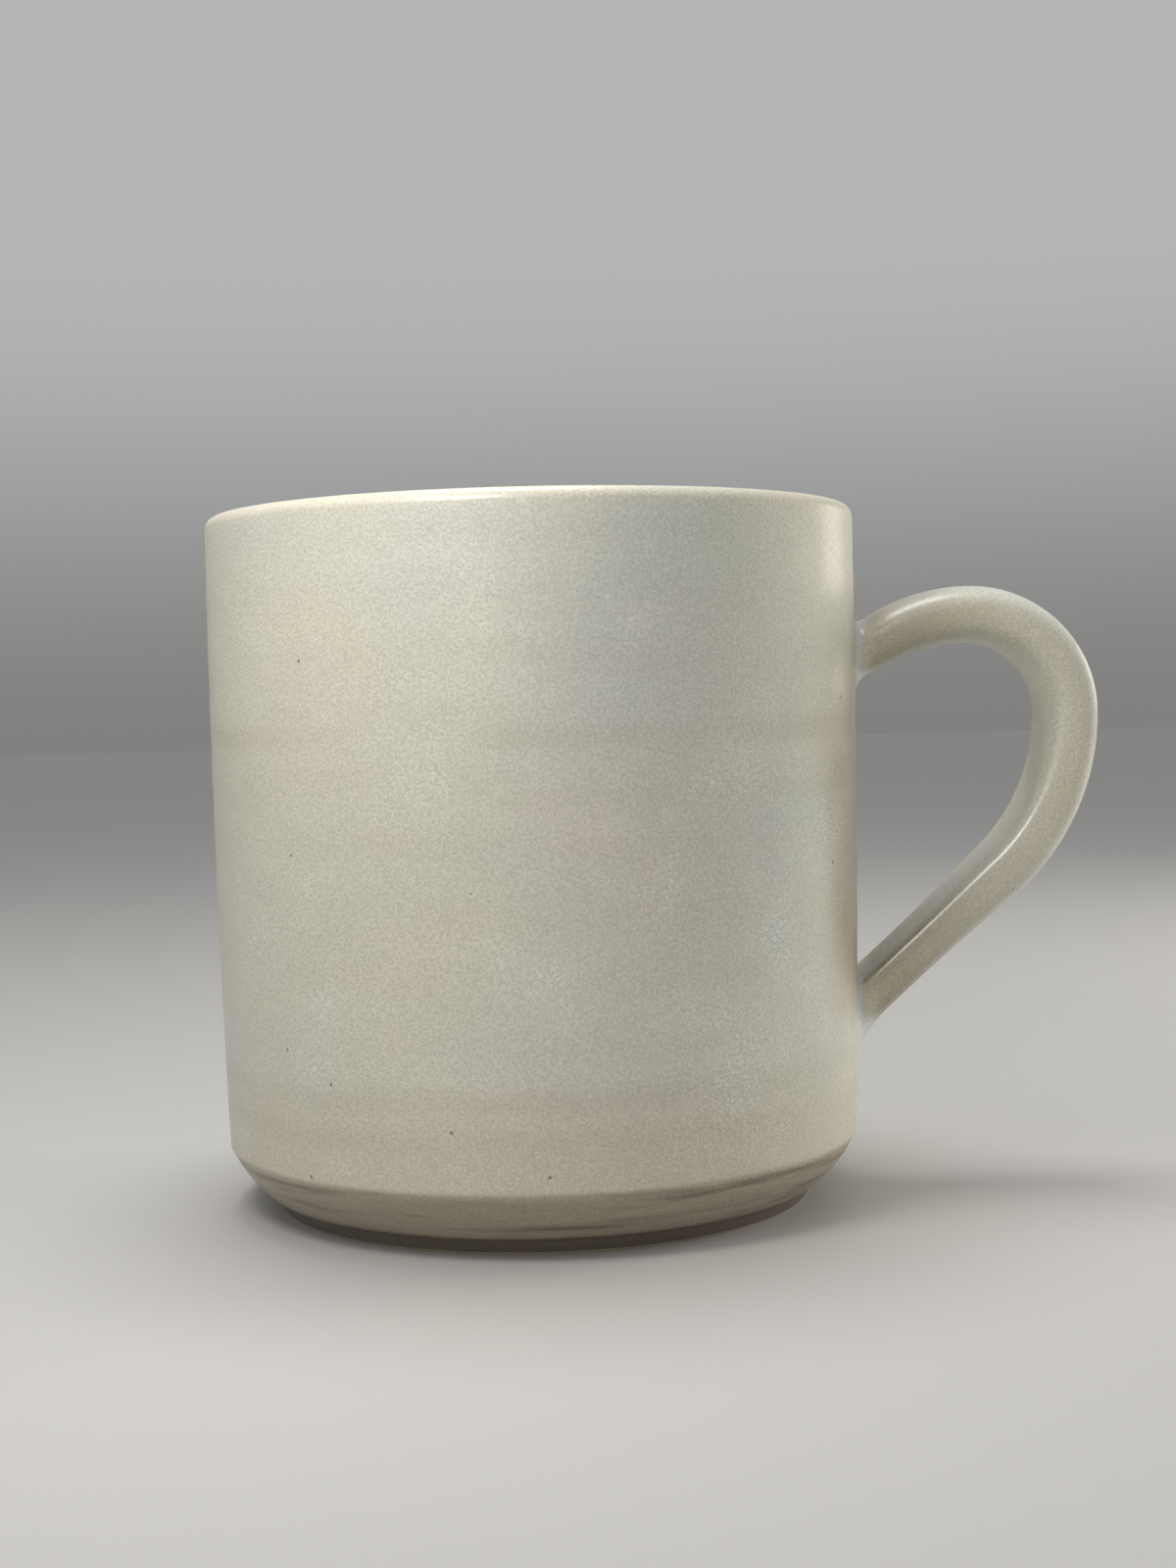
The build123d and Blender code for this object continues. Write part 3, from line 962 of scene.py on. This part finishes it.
def lamp(name, place, target, size, watts, colour, lights=True, glints=True):
    """A round lamp that faces its target."""
    data = bpy.data.lights.new(name, "AREA")
    data.shape = "DISK"
    data.size = size
    data.energy = watts
    data.color = colour
    made = linked(name, data)
    made.location = place
    made.rotation_euler = (Vector(target) - Vector(place)).to_track_quat("-Z", "Y").to_euler()
    made.visible_camera = False
    made.visible_diffuse = lights
    made.visible_glossy = glints


def soft_room():
    """An even sky that darkens to the floor's own grey at the skyline."""
    world = bpy.data.worlds.new("soft_room")
    world.use_nodes = True
    tree = world.node_tree
    heading = node(tree, "ShaderNodeTexCoord").outputs["Generated"]
    height = node(tree, "ShaderNodeSeparateXYZ", {0: heading}).outputs["Z"]
    sky = tree.nodes["Background"]
    tree.links.new(blend(tree, ramp(tree, height, *SKY_RISE), SKYLINE, SKY), sky.inputs["Color"])
    sky.inputs["Strength"].default_value = SKY_STRENGTH
    bpy.context.scene.world = world


def studio():
    """A plain pale floor under soft light."""
    corners = [(-FLOOR_SIZE, -FLOOR_SIZE, 0), (FLOOR_SIZE, -FLOOR_SIZE, 0),
               (FLOOR_SIZE, FLOOR_SIZE, 0), (-FLOOR_SIZE, FLOOR_SIZE, 0)]
    mesh = bpy.data.meshes.new("floor")
    mesh.from_pydata(corners, [], [(0, 1, 2, 3)])
    mesh.materials.append(plain("floor_paint", FLOOR_PAINT, 0.75))
    linked("floor", mesh)
    soft_room()
    for name, values in LAMPS.items():
        lamp(name, **values)


def camera():
    """In front of the mug, lower than its lip, looking slightly down."""
    ahead = Vector((sin(CAMERA_YAW) * cos(CAMERA_PITCH), cos(CAMERA_YAW) * cos(CAMERA_PITCH),
                    sin(CAMERA_PITCH)))
    right = Vector((cos(CAMERA_YAW), -sin(CAMERA_YAW), 0))
    up = right.cross(ahead)
    rolled_right = right * cos(CAMERA_ROLL) + up * sin(CAMERA_ROLL)
    rolled_up = up * cos(CAMERA_ROLL) - right * sin(CAMERA_ROLL)
    data = bpy.data.cameras.new("camera")
    data.sensor_width = 36
    data.lens = LENS_PER_SENSOR * data.sensor_width
    data.clip_start, data.clip_end = 0.01, 20
    made = linked("camera", data)
    turn = Matrix((rolled_right, rolled_up, -ahead)).transposed().to_4x4()
    made.matrix_world = Matrix.Translation(CAMERA_PLACE) @ turn
    bpy.context.scene.camera = made


# =============================================================================
# The mug
# =============================================================================
grain = fine_grain_group()
glaze, clay = satin_glaze(grain), bare_clay(grain)
mesh = shaped(linked("joined_mug", joined_mug()), hand_finish_tree(), "stoneware_mug",
              wobble=0.16 * MM, wobble_scale=17.0, ring_depth=0.055 * MM, ring_pitch=7.5 * MM,
              shoulder_height=SHOULDER_HEIGHT, shoulder_wave=0.45 * MM,
              trimming_depth=0.14 * MM, trimming_pitch=0.55 * MM,
              height=HEIGHT, glaze_line=0.3 * MM, seed=4, glaze=glaze, clay=clay)
mug = linked("stoneware_mug", mesh)
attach(mug, "root")
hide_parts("mug")

studio()
camera()
bpy.context.scene.view_settings.view_transform = "Standard"
